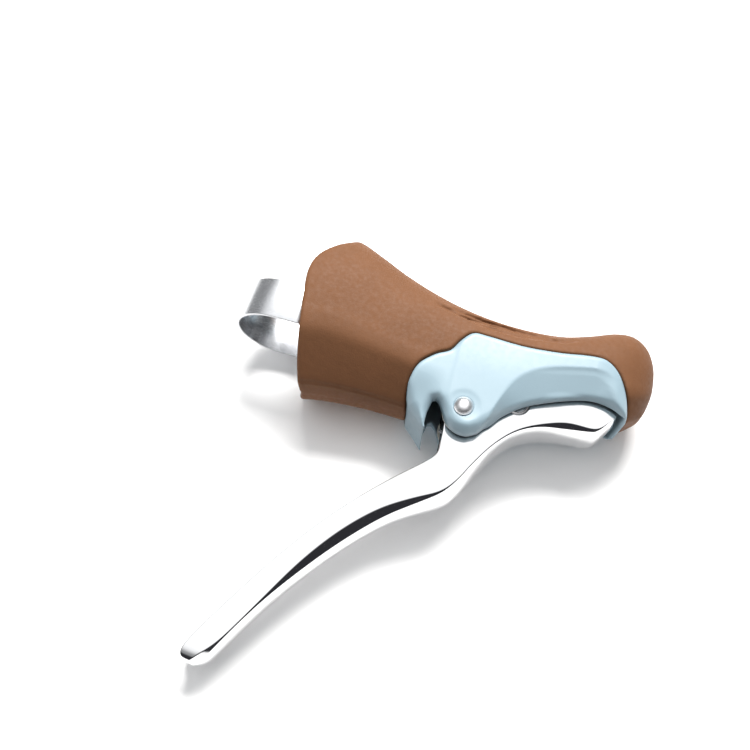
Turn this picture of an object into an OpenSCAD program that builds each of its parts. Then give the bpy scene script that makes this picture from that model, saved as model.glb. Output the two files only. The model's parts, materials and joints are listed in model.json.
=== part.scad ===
// Drop-bar brake lever, right hand: a cast bracket with a rubber hood, a polished
// blade on a cross pivot, its return spring and cable anchor, and a band clamp.
// Origin: middle of the bar clamp, on the bar's axis.
// +Z runs along the bar (up as mounted), +X forwards, +Y to the rider's left.

/* [Handlebar clamp] */
// Diameter of the handlebar
bar_d = 23.8; // [23.4:0.1:24.2]
// Height of the saddle that sits on the bar
saddle_h = 28; // [24:1:30]
// Width of the clamp band
band_w = 12; // [10:1:14]
// Thickness of the clamp band
band_t = 1; // [0.8:0.1:1.2]
// Diameter of the clamp bolt
bolt_d = 6; // [5:0.5:6]

/* [Bracket] */
// Width of the bracket across its flanks
body_w = 29; // [28:0.5:30]
// Thickness of the rubber hood
hood_t = 2.4; // [2:0.1:2.8]
// Diameter of the pivot pin
pivot_d = 5; // [4:0.5:5.5]
// Diameter of the pivot's domed heads
head_d = 5.8; // [5.4:0.1:7]
// Radius of the ear around the pivot
ear_r = 6.6; // [6:0.1:7]

/* [Blade] */
// Width of the blade between the ears
blade_w = 16; // [15:0.5:16.5]
// Thickness of the blade's cheeks
cheek_t = 2.3; // [2:0.1:2.6]
// Thickness of the blade's front web
web_t = 2.6; // [2.2:0.1:3.2]
// Gap between the blade and each ear
side_gap = 0.8; // [0.7:0.1:1]

/* [Cable] */
// Diameter of the cable housing
housing_d = 5; // [4:0.5:5]
// Diameter of the cable anchor barrel
anchor_d = 7; // [6.5:0.5:7.5]
// Slope of the cable line through the bracket
cable_slope = 28; // [27:0.5:29]

/* [Hidden] */

$fn = 48;
bar_r = bar_d / 2;
run = 0.05;              // radial clearance of a part that turns
wide = 60;               // longer than anything it cuts
side = body_w / 2;
blade_half = blade_w / 2;
cavity_half = blade_half + side_gap;
pivot = [58, 0, -17.8];  // pivot axis, parallel to Y
anchor = [72.4, 0, -10.4];
cavity_back = 36;        // rear wall of the space between the cheeks
stop_seat = 27;          // X where the housing stop bottoms
stop_len = 9;
bolt_seat = 27;          // X of the face under the clamp bolt's washer
nut_x = 13;              // rear face of the clamp nut
nut_t = 4.4;
band_front = nut_x + nut_t;
band_nose = 7;           // half width of the band's flat front
washer_t = 1;
bolt_head_r = 4.8;
bolt_head_t = 4.6;
hex_key = 5;
bumper_x = 89;           // rubber stop under the nose, for the blade's top end
bumper_stem_r = 2;
bumper_stem_top = 10;
blade_top = -2;          // Z of the blade's top edge under the bumper

// ---- curves ----------------------------------------------------------------

// A smooth curve through the points p, with n steps between neighbours
function spline(p, n) =
    let (last = len(p) - 1)
    [for (i = [0 : last - 1], k = [0 : n - 1])
        let (t = k / n,
             a = p[max(i - 1, 0)], b = p[i], c = p[i + 1], d = p[min(i + 2, last)])
        0.5 * (2 * b + (c - a) * t + (2 * a - 5 * b + 4 * c - d) * t * t
               + (3 * b - a - 3 * c + d) * t * t * t),
     p[last]];

function arc(cx, cy, r, a0, a1, n) =
    [for (i = [0 : n]) let (a = a0 + (a1 - a0) * i / n) [cx + r * cos(a), cy + r * sin(a)]];

function power(c, e) = sign(c) * pow(abs(c), 2 / e);

// A closed solid through rings of equal length, capped flat at both ends
module loft(rings) {
    n = len(rings[0]);
    last = len(rings) - 1;
    polyhedron(
        points = [for (r = rings) each r],
        faces = concat(
            [[for (i = [0 : n - 1]) i]],
            [for (r = [0 : last - 1], i = [0 : n - 1])
                let (j = (i + 1) % n)
                each [[r * n + i, (r + 1) * n + i, (r + 1) * n + j],
                      [r * n + i, (r + 1) * n + j, r * n + j]]],
            [[for (i = [n - 1 : -1 : 0]) last * n + i]]),
        convexity = 6);
}

// A prism of a side outline, given in X and Z, half as thick as w each way
module slab(outline, w) {
    rotate([90, 0, 0]) linear_extrude(height = 2 * w, center = true) polygon(outline);
}

module across(x, z, r, y0, y1) {
    translate([x, y1, z]) rotate([90, 0, 0]) cylinder(r = r, h = y1 - y0);
}

// A cylinder on the clamp bolt's axis, between two values of X
module along_bar_front(r, x0, x1) {
    translate([x0, 0, 0]) rotate([0, 90, 0]) cylinder(r = r, h = x1 - x0);
}

// A cylinder on the cable line, between two distances from the anchor
module on_cable_line(r, s0, s1) {
    translate(anchor) rotate([0, cable_slope - 90, 0]) translate([0, 0, s0])
        cylinder(r = r, h = s1 - s0);
}
function cable_dist(x) = (anchor[0] - x) / cos(cable_slope);

// ---- outlines --------------------------------------------------------------

// Hood stations: [X, top Z, bottom Z, half width]
hood_stations = [
    [2, 23.5, -23.2, 17.4], [9, 27.6, -22.6, 17.4], [16, 28.2, -21.2, 17],
    [24, 25.1, -20.3, 16.3], [32, 21.5, -20, 15.4], [41, 18.2, -20.2, 14.8], [50, 15.7, -21, 14.6],
    [60, 14, -21, 14.6], [70, 13.5, -20, 14.6], [80, 14.3, -18, 14.5], [88, 16.8, -15, 14.2],
    [95, 19.8, -12, 13.4], [100.5, 20.6, -10, 12], [105, 18.4, -6.4, 9.4],
    [107.8, 14, -1.6, 6.2], [109, 9.4, 3.4, 2.4]];
square_top = 2.7;        // how square the hood's section is in its upper half
// Lower half of the section, from the flank over the chine to the keel, as shares of its
// half width and depth
low_section = [[1, 0.12], [1, 0.3], [0.95, 0.45], [0.82, 0.59], [0.61, 0.78], [0.42, 0.93],
               [0.16, 1]];
nose_tip = 109;

function hood_ring(s, inset) =
    let (w = s[3] - inset, h = (s[1] - s[2]) / 2 - inset, zc = (s[1] + s[2]) / 2,
         upper = [for (i = [0 : 13]) let (a = (i + 0.5) * 180 / 14)
                  [s[0], w * power(cos(a), square_top), zc + h * power(sin(a), square_top)]],
         lower = [for (q = low_section) [s[0], -w * q[0], zc - h * q[1]]])
    concat(upper, lower, [for (i = [len(lower) - 1 : -1 : 0])
                          [s[0], -lower[i][1], lower[i][2]]]);

module hood_shape(inset, nose) {
    loft([for (s = spline(hood_stations, 2)) if (s[0] <= nose) hood_ring(s, inset)]);
}

// Rear rim of the hood, from its underside to its peak
rim = spline([[11, -26], [10.4, -21], [9.5, -15], [8.2, -6], [6.6, 2], [5.6, 9.6], [6.8, 15.6],
              [10.6, 20.8], [14.6, 25], [17, 31]], 3);

// Edge of the hood on the flank, from the tail to the nose
hood_edge = spline([[43.2, -20.2], [42.2, -17.4], [41.8, -13.4], [43.2, -8.6], [46.8, -4.8],
                    [50.6, -2.4], [52.8, 1.4], [55.6, 4.4], [60, 4.6], [70, 4.3], [80, 5.2],
                    [88, 6.6], [93, 6.6], [97.4, 3.8], [100.6, -1], [102.6, -6]], 3);

// Lower edge of the flank, from the nose back to the ear
flank_edge = spline([[102.4, -7.8], [100.6, -6.9], [97, -5.3], [91, -4.9], [83, -7.4],
                     [75, -11.2], [69.4, -15.6], [66.4, -19.6], [63.6, -22.8]], 3);
ear = arc(59.4, -17.9, ear_r, 285, 215, 5);
tail = [[51.6, -17.6], [49.4, -17.2], [48.8, -21], [49.4, -23.8], [51.6, -26], [50.4, -26]];

flank = concat(hood_edge, flank_edge, ear, tail);
// Space below the flank's lower edge, where the bracket's core would show under it
below_flank = concat([[120, -8.3]], [for (q = concat(flank_edge, ear)) q + [0, 0.1]],
                     [[51.6, -17.5], [48.6, -17.1], [48.6, -wide], [120, -wide]]);
nose_plan = concat([[30, -wide], [90, -side]],
                   spline([[92, -side], [98, -side + 1.6], [102, -side + 5.4], [104, 0],
                           [102, side - 5.4], [98, side - 1.6], [92, side]], 3),
                   [[90, side], [30, wide]]);

// Rounded underside of the flank's tail, across the bracket: [Y, Z]
tail_section = [for (a = [0 : 10 : 180])
                [side * power(cos(a), 3.4), -12 - 14 * power(sin(a), 3.4)]];

// Space between the cheeks, from the chin behind the blade round the ceiling to the nose
cavity = concat([[45.4, -wide], [46.9, -26], [46.6, -21], [43.6, -15.4], [cavity_back, -12.4],
                 [cavity_back, 10.6]],
                spline([[40, 10.6], [52, 8.6], [64, 7.6], [84, 7.4], [94, 5.4], [101, -1]], 2),
                [[101.6, -12], [101.6, -wide]]);

// Blade stations from the tip: [front X, front Z, back X, back Z, half width]
blade_stations = [
    [9.6, -100, 6.8, -99.6, 3.4], [12.2, -98.2, 4.9, -97.4, 5.1], [15.2, -93.2, 7.4, -91.4, 5.8],
    [22, -81.4, 14.2, -79.4, 6], [30, -69.8, 21.8, -67, 6.1], [38.2, -59.8, 30, -55.6, 6.3],
    [46.4, -51.8, 38.2, -46.2, 6.7], [54, -46.6, 46, -39.6, 7.3], [60, -42.4, 51.4, -36, 7.8],
    [63.4, -37.4, 54, -31.6, 8], [66.4, -31, 54.2, -26.6, 8], [70.2, -24.4, 53.8, -20.6, 8],
    [75.2, -19, 52.6, -12.4, 8], [81.4, -15.8, 60, -7.2, 8], [89, -14.6, 76, -3.4, 8],
    [95.4, -13.4, 88, -2, 8], [98.8, -12, 95, -2.3, 7.4], [99.8, -9.6, 99, -4.6, 6.4]];
// Blade section as shares of its half depth (back to front) and half width
blade_section = concat([[-1, -0.92], [-0.94, -1]],
                       [for (a = [0 : 15 : 90]) [0.5 + 0.5 * sin(a), -0.55 - 0.45 * cos(a)]],
                       [for (a = [90 : -15 : 0]) [0.5 + 0.5 * sin(a), 0.55 + 0.45 * cos(a)]],
                       [[-0.94, 1], [-1, 0.92]]);
channel_first = 9;       // first and last blade stations with the hollow back
channel_last = 15;

function blade_ring(s) =
    let (f = [s[0], 0, s[1]], b = [s[2], 0, s[3]],
         w = s[4] * blade_half / 8, c = (f + b) / 2, u = (f - b) / 2)
    [for (q = blade_section) c + u * q[0] + [0, w * q[1], 0]];

function toward_back(s, d) =
    let (f = [s[0], s[1]], b = [s[2], s[3]], u = (b - f) / norm(b - f)) f + u * d;
function behind(s, d) =
    let (f = [s[0], s[1]], b = [s[2], s[3]], u = (b - f) / norm(b - f)) b + u * d;

channel = let (s = spline([for (i = [channel_first : channel_last]) blade_stations[i]], 2))
    concat([for (q = s) toward_back(q, web_t)],
           [for (i = [len(s) - 1 : -1 : 0]) behind(s[i], 3)]);

// ---- bracket and hood ------------------------------------------------------

module lever_body() {
    color([0.66, 0.78, 0.84]) difference() {
        union() {
            difference() {
                hood_shape(hood_t, nose_tip - 4);
                // under the hood's rim the bracket is only as tall as its saddle
                translate([-20, -wide, saddle_h / 2]) cube([36, 2 * wide, wide]);
                translate([-20, -wide, -wide - saddle_h / 2]) cube([36, 2 * wide, wide]);
                slab(below_flank, wide);
            }
            difference() {
                intersection() {
                    slab(flank, side);
                    linear_extrude(height = 2 * wide, center = true) polygon(nose_plan);
                }
                tail_trim();
            }
        }
        translate([0, 0, -wide]) cylinder(r = bar_r, h = 2 * wide);
        // the saddle ends just inside the hood's rim
        slab(concat([[-20, -wide], [11.8, -wide]], [for (q = rim) q + [0.8, 0]],
                    [[17.8, 40], [-20, 40]]), wide);
        slab(cavity, cavity_half);
        // slots and pocket for the band and its nut
        translate([0, -bar_r - band_t - 0.3, -band_w / 2 - 0.4])
            cube([band_front + band_t + 2.4, 2 * (bar_r + band_t + 0.3), band_w + 0.8]);
        // clamp bolt and its counterbore
        along_bar_front(bolt_d / 2 + 0.3, 10, cavity_back + 1);
        along_bar_front(bolt_head_r + 0.6, bolt_seat, cavity_back + 1);
        // seat of the housing stop and the way through for the cable
        on_cable_line(housing_d / 2 + 0.8 + run, cable_dist(stop_seat), cable_dist(0));
        on_cable_line(2.2, cable_dist(cavity_back + 4), cable_dist(stop_seat) + 1);
        across(pivot[0], pivot[2], pivot_d / 2 + 0.02, -wide, wide);
        // hole for the spring's fixed leg, and the bumper's socket
        translate([cavity_back - 3, spring_leg[1], spring_leg[2]]) rotate([0, 90, 0])
            cylinder(r = wire_r + 0.25, h = 4);
        translate([bumper_x, 0, 0]) cylinder(r = bumper_stem_r, h = bumper_stem_top + 0.2);
    }
}

// What the tail's rounded underside takes off the flank behind the ear
module tail_trim() {
    difference() {
        translate([30, -wide, -wide]) cube([22.8, 2 * wide, wide - 12]);
        rotate([90, 0, 90]) linear_extrude(height = wide) polygon(tail_section);
    }
}

module hood() {
    color([0.5, 0.33, 0.22]) difference() {
        hood_shape(0, nose_tip);
        hood_shape(hood_t - 0.1, nose_tip - 3.9);
        // open below the flank's edge and under the nose
        slab(concat([[43.1, -wide], [43.1, -20.3]], [for (q = hood_edge) q + [-0.05, 0.05]],
                    [[106.6, -0.6], [wide * 3, 0], [wide * 3, -wide]]), wide);
        // open behind the rim, and round the bar
        slab(concat([[-20, -wide], [11, -wide]], rim, [[17, 40], [-20, 40]]), wide);
        translate([0, 0, -wide]) cylinder(r = bar_r + 0.5, h = 2 * wide);
        // relief in the rim where the housing turns up along the bar
        translate([0, -3.4, 16]) cube([17.6, 6.8, 30]);
    }
}

// ---- blade and its pivot ---------------------------------------------------

module lever_blade() {
    color([0.86, 0.87, 0.88]) difference() {
        loft([for (s = spline(blade_stations, 2)) blade_ring(s)]);
        slab(channel, blade_half - cheek_t);
        across(pivot[0], pivot[2], pivot_d / 2 + 1.1, -wide, wide);
        across(anchor[0], anchor[2], anchor_d / 2 + run, -wide, wide);
        across(spring_pin_at[0], spring_pin_at[1], spring_pin_r, -pin_half, pin_half);
    }
}

spring_pin_at = [56.2, -24];
spring_pin_r = 1.2;
pin_half = blade_half - 0.7;

// Domed head of radius r on the outer side of the flank, dir = -1 right or 1 left
module dome(r, dir) {
    h = 1.5;
    ball = (r * r + h * h) / (2 * h);
    translate([pivot[0], dir * side, pivot[2]]) rotate([-90 * dir, 0, 0])
        rotate_extrude() polygon(concat([[0, 0]],
            [for (i = [0 : 6])
                let (a = acos((ball - h) / ball) * (1 - i / 6))
                [ball * sin(a), ball * cos(a) - ball + h]]));
}

module pivot_pin() {
    color([0.8, 0.8, 0.82]) {
        across(pivot[0], pivot[2], pivot_d / 2, -side, side - 2);
        across(pivot[0], pivot[2], pivot_d / 2 - 0.9, side - 2, side + 0.6);
        dome(head_d / 2, -1);
    }
}

module pivot_cap() {
    color([0.8, 0.8, 0.82]) difference() {
        union() {
            dome(head_d / 2, 1);
            across(pivot[0], pivot[2], pivot_d / 2, side - 1.9, side);
        }
        across(pivot[0], pivot[2], pivot_d / 2 - 0.9, side - 3, side + 0.7);
    }
}

// Flanged bush in one cheek of the blade
module pivot_bush(dir) {
    inner = blade_half - cheek_t;
    color([0.72, 0.6, 0.35]) mirror([0, dir < 0 ? 1 : 0, 0]) difference() {
        union() {
            across(pivot[0], pivot[2], pivot_d / 2 + 1.1, inner - 0.8, blade_half);
            across(pivot[0], pivot[2], pivot_d / 2 + 2, inner - 0.8, inner - 0.02);
        }
        across(pivot[0], pivot[2], pivot_d / 2 + run, 0, wide);
    }
}
module pivot_bush_left() { pivot_bush(1); }
module pivot_bush_right() { pivot_bush(-1); }

module thrust_washer(dir) {
    color([0.92, 0.9, 0.84]) mirror([0, dir < 0 ? 1 : 0, 0]) difference() {
        across(pivot[0], pivot[2], 5.4, blade_half + 0.05, cavity_half - 0.05);
        across(pivot[0], pivot[2], pivot_d / 2 + run, 0, wide);
    }
}
module thrust_washer_left() { thrust_washer(1); }
module thrust_washer_right() { thrust_washer(-1); }

sleeve_half = blade_half - cheek_t - 1;
sleeve_r = pivot_d / 2 + 0.8;

module spring_sleeve() {
    color([0.9, 0.9, 0.86]) difference() {
        across(pivot[0], pivot[2], sleeve_r, -sleeve_half, sleeve_half);
        across(pivot[0], pivot[2], pivot_d / 2 + run, -wide, wide);
    }
}

module spring_pin() {
    color([0.5, 0.51, 0.53]) across(spring_pin_at[0], spring_pin_at[1], spring_pin_r - 0.01,
                                    -pin_half + 0.02, pin_half - 0.02);
}

// Torsion spring: a leg against the bracket, the turns on the sleeve, a leg on the pin
wire_r = 0.6;
coil_r = sleeve_r + wire_r + 0.35;
coil_start = 100;        // angles of the turns' ends, above the sleeve and below it
coil_end = 242 - 4 * 360;
coil_half = 2.9;
function coil_point(t) =
    let (a = coil_start + (coil_end - coil_start) * t)
    [pivot[0] + coil_r * cos(a), coil_half * (2 * t - 1), pivot[2] + coil_r * sin(a)];
spring_leg = [33.6, -3.4, -8.4];
spring_path = concat(
    [spring_leg, [38, -3.4, -8.4], [45, -3.3, -10.6], [51, -3.2, -12.7]],
    [for (i = [0 : 60]) coil_point(i / 60)],
    [[54.6, 3, -20.7], [53.4, 3.1, -20]]);

function tube_rings(path, r, sides) =
    [for (i = [0 : len(path) - 1])
        let (a = path[max(i - 1, 0)], b = path[min(i + 1, len(path) - 1)],
             t = (b - a) / norm(b - a), u0 = cross(t, [0, 1, 0]), u = u0 / norm(u0), v = cross(t, u))
        [for (k = [0 : sides - 1]) let (q = 360 * k / sides) path[i] + r * (cos(q) * u + sin(q) * v)]];

module return_spring() {
    color([0.55, 0.56, 0.58]) loft(tube_rings(spring_path, wire_r, 8));
}

// ---- cable -----------------------------------------------------------------

module cable_anchor() {
    color([0.75, 0.76, 0.78]) difference() {
        across(anchor[0], anchor[2], anchor_d / 2, -blade_half, blade_half);
        on_cable_line(1.1, -wide, wide);
        on_cable_line(2.3, -anchor_d, -0.6);
    }
}

module housing_stop() {
    outer = housing_d / 2 + 0.8;
    s0 = cable_dist(stop_seat);
    color([0.78, 0.79, 0.8]) difference() {
        on_cable_line(outer, s0 + 0.02, s0 + stop_len);
        on_cable_line(housing_d / 2 + 0.1, s0 + 1.4, s0 + wide);
        on_cable_line(1.2, s0 - 1, s0 + 3);
    }
}

module cable_guide() {
    s1 = cable_dist(stop_seat);
    color([0.93, 0.93, 0.9]) difference() {
        on_cable_line(2.15, cable_dist(cavity_back + 3), s1 - 0.02);
        on_cable_line(1.2, 0, s1 + 5);
    }
}

// ---- clamp -----------------------------------------------------------------

// Outline of the band's legs, inside (grow = 0) or outside (grow = band_t)
function band_line(grow) =
    let (r = bar_r + grow, x = band_front + grow, y = band_nose + grow / 2)
    [[0, r], [0, -r], [7, -r], [x, -y], [x, y], [7, r]];

// The band's loop, solid: half a disc behind the bar, and the legs to the flat front
module band_loop(grow, height) {
    translate([0, 0, -height / 2]) {
        intersection() {
            cylinder(r = bar_r + grow, h = height);
            translate([-wide, -wide, -1]) cube([wide, 2 * wide, wide]);
        }
        linear_extrude(height = height) polygon(band_line(grow));
    }
}

module clamp_band() {
    color([0.72, 0.73, 0.75]) difference() {
        band_loop(band_t, band_w);
        translate([0, 0, -band_w]) cylinder(r = bar_r, h = 2 * band_w);
        translate([0, 0, -band_w]) linear_extrude(height = 2 * band_w) polygon(band_line(0));
        along_bar_front(bolt_d / 2 + 0.3, 10, 30);
    }
}

module clamp_nut() {
    color([0.6, 0.6, 0.62]) difference() {
        translate([nut_x, -6, -band_w / 2 + 0.5]) cube([nut_t, 12, band_w - 1]);
        along_bar_front(bolt_d / 2 + run, 10, 30);
    }
}

module clamp_washer() {
    color([0.75, 0.75, 0.77]) difference() {
        along_bar_front(bolt_head_r + 0.4, bolt_seat + 0.02, bolt_seat + washer_t);
        along_bar_front(bolt_d / 2 + 0.2, 10, 30);
    }
}

module clamp_bolt() {
    head_x = bolt_seat + washer_t + 0.02;
    color([0.2, 0.2, 0.22]) difference() {
        union() {
            along_bar_front(bolt_head_r, head_x, head_x + bolt_head_t);
            along_bar_front(bolt_d / 2, nut_x - 0.6, head_x + 1);
        }
        along_bar_front(hex_key / 2 / cos(30), head_x + bolt_head_t - 3, 40, $fn = 6);
    }
}

module blade_bumper() {
    pad_half = blade_half - 0.4;
    color([0.15, 0.15, 0.16]) {
        translate([bumper_x - 3, -pad_half, blade_top + 0.3])
            cube([6, 2 * pad_half, 5 - blade_top]);
        translate([bumper_x, 0, 4]) cylinder(r = bumper_stem_r, h = bumper_stem_top - 4);
    }
}

lever_body();
hood();
lever_blade();
pivot_pin();
pivot_cap();
pivot_bush_left();
pivot_bush_right();
thrust_washer_left();
thrust_washer_right();
spring_sleeve();
return_spring();
spring_pin();
cable_anchor();
housing_stop();
cable_guide();
clamp_band();
clamp_nut();
clamp_bolt();
clamp_washer();
blade_bumper();
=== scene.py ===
"""Looks of a drop-bar brake lever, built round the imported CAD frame. Sizes are in millimetres
and turned into metres where a mesh is made; materials, lights and the camera's clipping are in
metres. +Z runs along the handlebar, +X forwards and +Y to the rider's left."""
import json
import math

import bmesh
import bpy
import numpy as np
from mathutils import Euler, Matrix, Vector


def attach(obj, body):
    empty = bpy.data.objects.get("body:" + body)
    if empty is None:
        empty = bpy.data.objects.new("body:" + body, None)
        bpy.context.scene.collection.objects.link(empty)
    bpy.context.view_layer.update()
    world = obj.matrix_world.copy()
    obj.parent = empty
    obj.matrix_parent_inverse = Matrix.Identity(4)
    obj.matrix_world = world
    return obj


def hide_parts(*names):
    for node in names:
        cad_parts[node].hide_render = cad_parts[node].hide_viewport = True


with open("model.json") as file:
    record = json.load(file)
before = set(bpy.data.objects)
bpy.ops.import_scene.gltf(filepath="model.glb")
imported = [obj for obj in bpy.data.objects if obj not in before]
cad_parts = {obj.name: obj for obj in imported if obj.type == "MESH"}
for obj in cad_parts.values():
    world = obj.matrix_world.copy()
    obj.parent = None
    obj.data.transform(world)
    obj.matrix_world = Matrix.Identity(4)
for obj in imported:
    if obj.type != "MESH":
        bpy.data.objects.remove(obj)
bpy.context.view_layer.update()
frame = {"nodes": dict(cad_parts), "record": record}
MM = 0.001


# ---- sizes shared with the CAD source ---------------------------------------

BAR_R = 11.9                  # the handlebar
SADDLE_TOP = 14.0             # half the height of the bracket's seat on the bar
SIDE = 14.5                   # half the bracket's width over its flanks
HOOD_T = 2.4                  # the rubber's thickness
BLADE_HALF = 8.0              # half the blade's width
ANCHOR_HOLE_R = 3.55          # the cable anchor's seat in the blade
CAVITY_HALF = 8.8             # half the width of the space between the bracket's cheeks
CAVITY_BACK = 36.0            # where that space ends towards the bar
CHEEK_T = 2.3                 # the blade's cheeks
WEB_T = 2.6                   # the blade's front wall between its cheeks
PIN_R = 2.5                   # the pivot pin
PIN_HOLE_R = 2.55             # what turns on the pin
BUSH_R = 3.6
STOP_R = 3.3                  # the housing stop
LINER_R = 2.15                # the cable guide
SEAT_GAP = 0.05               # what the last two have round them
PIVOT = np.array([58.0, 0.0, -17.8])
ANCHOR = np.array([72.4, 0.0, -10.4])
SPRING_PIN = np.array([56.2, 0.0, -24.0])
SLOPE = math.radians(28)      # the cable's line over the X axis
BOLT_SEAT = 27.0
ACROSS = (0, 1, 0)
ALONG_X = (1, 0, 0)
CABLE = (-math.cos(SLOPE), 0, math.sin(SLOPE))
STOP_SEAT = (ANCHOR[0] - BOLT_SEAT) / math.cos(SLOPE)     # from the anchor, along the cable


def spline(points, n):
    """A smooth curve through the points, with n steps between neighbours."""
    p = np.array(points, float)
    last = len(p) - 1
    out = []
    for i in range(last):
        a, b, c, d = p[max(i - 1, 0)], p[i], p[i + 1], p[min(i + 2, last)]
        for k in range(n):
            t = k / n
            out.append(0.5 * (2 * b + (c - a) * t + (2 * a - 5 * b + 4 * c - d) * t * t
                              + (3 * b - a - 3 * c + d) * t ** 3))
    out.append(p[last])
    return np.array(out)


def arc(cx, cy, r, a0, a1, n):
    """n + 1 points on a circle, from the angle a0 to a1 in degrees."""
    t = np.radians(np.linspace(a0, a1, n + 1))
    return np.stack([cx + r * np.cos(t), cy + r * np.sin(t)], 1)


def smoothstep(a, b, x):
    """0 at a, 1 at b and smooth between them."""
    t = np.clip((x - a) / (b - a), 0, 1)
    return t * t * (3 - 2 * t)


# ---- signed distances --------------------------------------------------------

def polygon_distance(px, py, poly):
    """Distance to a closed polygon, negative inside."""
    poly = np.asarray(poly, float)
    best = np.full(px.shape, 1e9)
    inside = np.zeros(px.shape, bool)
    for (x0, y0), (x1, y1) in zip(poly, np.roll(poly, -1, axis=0)):
        ex, ey = x1 - x0, y1 - y0
        length2 = max(ex * ex + ey * ey, 1e-12)
        t = np.clip(((px - x0) * ex + (py - y0) * ey) / length2, 0, 1)
        best = np.minimum(best, (px - x0 - t * ex) ** 2 + (py - y0 - t * ey) ** 2)
        if y0 != y1:
            crosses = ((y0 > py) != (y1 > py)) & (px < ex * (py - y0) / ey + x0)
            inside ^= crosses
    return np.where(inside, -1, 1) * np.sqrt(best)


def line_distance(points, px, py, pz):
    """Distance to an open polyline in space, and how far along it (0 to 1) the nearest point is."""
    best = np.full(px.shape, 1e9)
    where = np.zeros(px.shape)
    count = len(points) - 1
    for i in range(count):
        a, b = points[i], points[i + 1]
        e = b - a
        t = np.clip(((px - a[0]) * e[0] + (py - a[1]) * e[1] + (pz - a[2]) * e[2]) / (e @ e), 0, 1)
        d = (px - a[0] - t * e[0]) ** 2 + (py - a[1] - t * e[1]) ** 2 + (pz - a[2] - t * e[2]) ** 2
        nearer = d < best
        best = np.where(nearer, d, best)
        where = np.where(nearer, (i + t) / count, where)
    return np.sqrt(best), where


def cut_round(a, b, r):
    """What is inside both a and b, with its edge rounded to the radius r."""
    return np.minimum(np.maximum(a, b), -r) + np.hypot(np.maximum(a + r, 0), np.maximum(b + r, 0))


def cylinder_distance(centre, axis, r, X, Y, Z):
    """Distance to an endless cylinder."""
    ax = np.asarray(axis, float) / np.linalg.norm(axis)
    dx, dy, dz = X - centre[0], Y - centre[1], Z - centre[2]
    along = dx * ax[0] + dy * ax[1] + dz * ax[2]
    return np.sqrt(np.maximum(dx * dx + dy * dy + dz * dz - along * along, 0)) - r


def surface_nets(field, low, step):
    """Points and quads on the zero level of a field sampled on a regular grid."""
    nx, ny, nz = field.shape
    cells = (nx - 1, ny - 1, nz - 1)
    total = np.zeros(cells + (3,))
    count = np.zeros(cells)
    edges = []
    for axis in range(3):
        first = [slice(None)] * 3
        second = [slice(None)] * 3
        first[axis] = slice(0, -1)
        second[axis] = slice(1, None)
        a, b = field[tuple(first)], field[tuple(second)]
        hit = np.argwhere((a < 0) != (b < 0))
        va, vb = a[tuple(hit.T)], b[tuple(hit.T)]
        point = hit.astype(float)
        point[:, axis] += va / (va - vb)
        other = [k for k in range(3) if k != axis]
        inner = np.ones(len(hit), bool)
        for k in other:
            inner &= (hit[:, k] > 0) & (hit[:, k] < field.shape[k] - 1)
        hit, point, va = hit[inner], point[inner], va[inner]
        corners = []
        for du, dv in ((0, 0), (1, 0), (1, 1), (0, 1)):
            cell = hit.copy()
            cell[:, other[0]] -= du
            cell[:, other[1]] -= dv
            np.add.at(total, tuple(cell.T), point)
            np.add.at(count, tuple(cell.T), 1)
            corners.append(np.ravel_multi_index(cell.T, cells))
        quad = np.stack(corners, 1)
        flip = (va >= 0) if axis != 1 else (va < 0)
        quad[flip] = quad[flip][:, ::-1]
        edges.append(quad)
    used = np.flatnonzero(count.ravel())
    points = total.reshape(-1, 3)[used] / count.ravel()[used, None]
    order = np.full(count.size, -1)
    order[used] = np.arange(len(used))
    return np.array(low) + points * step, order[np.concatenate(edges)]


def grid(low, high, step):
    """X, Y and Z at every point of a regular grid."""
    axes = [np.arange(a, b + step, step) for a, b in zip(low, high)]
    return np.meshgrid(*axes, indexing="ij")


# ---- meshes ------------------------------------------------------------------

def mesh_object(name, points, faces):
    """A smooth-shaded object from points in millimetres."""
    mesh = bpy.data.meshes.new(name)
    faces = faces.tolist() if isinstance(faces, np.ndarray) else faces
    mesh.from_pydata((np.asarray(points, float) * MM).tolist(), [], faces)
    mesh.validate()
    mesh.update()
    mesh.shade_smooth()
    obj = bpy.data.objects.new(name, mesh)
    bpy.context.scene.collection.objects.link(obj)
    return obj


def apply_modifiers(obj):
    graph = bpy.context.evaluated_depsgraph_get()
    graph.update()
    mesh = bpy.data.meshes.new_from_object(obj.evaluated_get(graph))
    obj.modifiers.clear()
    obj.data = mesh
    return obj


def settle(obj):
    """Evens out a mesh's fine steps without shrinking it."""
    for factor in (0.5, -0.52) * 3:
        m = obj.modifiers.new("even", "SMOOTH")
        m.factor = factor
        m.iterations = 1
    return apply_modifiers(obj)


def from_field(name, field, low, step):
    return settle(mesh_object(name, *surface_nets(field, low, step)))


def lathe(name, profile, centre, axis, segments=64, closed=False):
    """A turned piece: profile is [(radius, distance along the axis)]."""
    z = Vector(axis).normalized()
    x = z.orthogonal().normalized()
    y = z.cross(x)
    rows = []
    for r, s in profile:
        for k in range(segments):
            a = 2 * math.pi * k / segments
            rows.append(Vector(centre) + z * s + (x * math.cos(a) + y * math.sin(a)) * r)
    faces = []
    n = len(profile)
    for i in range(n if closed else n - 1):
        j = (i + 1) % n
        for k in range(segments):
            m = (k + 1) % segments
            faces.append((i * segments + k, i * segments + m, j * segments + m, j * segments + k))
    if not closed:
        faces.append(tuple(range(segments - 1, -1, -1)))
        faces.append(tuple(range((n - 1) * segments, n * segments)))
    obj = mesh_object(name, rows, faces)
    fix_normals(obj)
    sharp_edges(obj, 38)
    return obj


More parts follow.
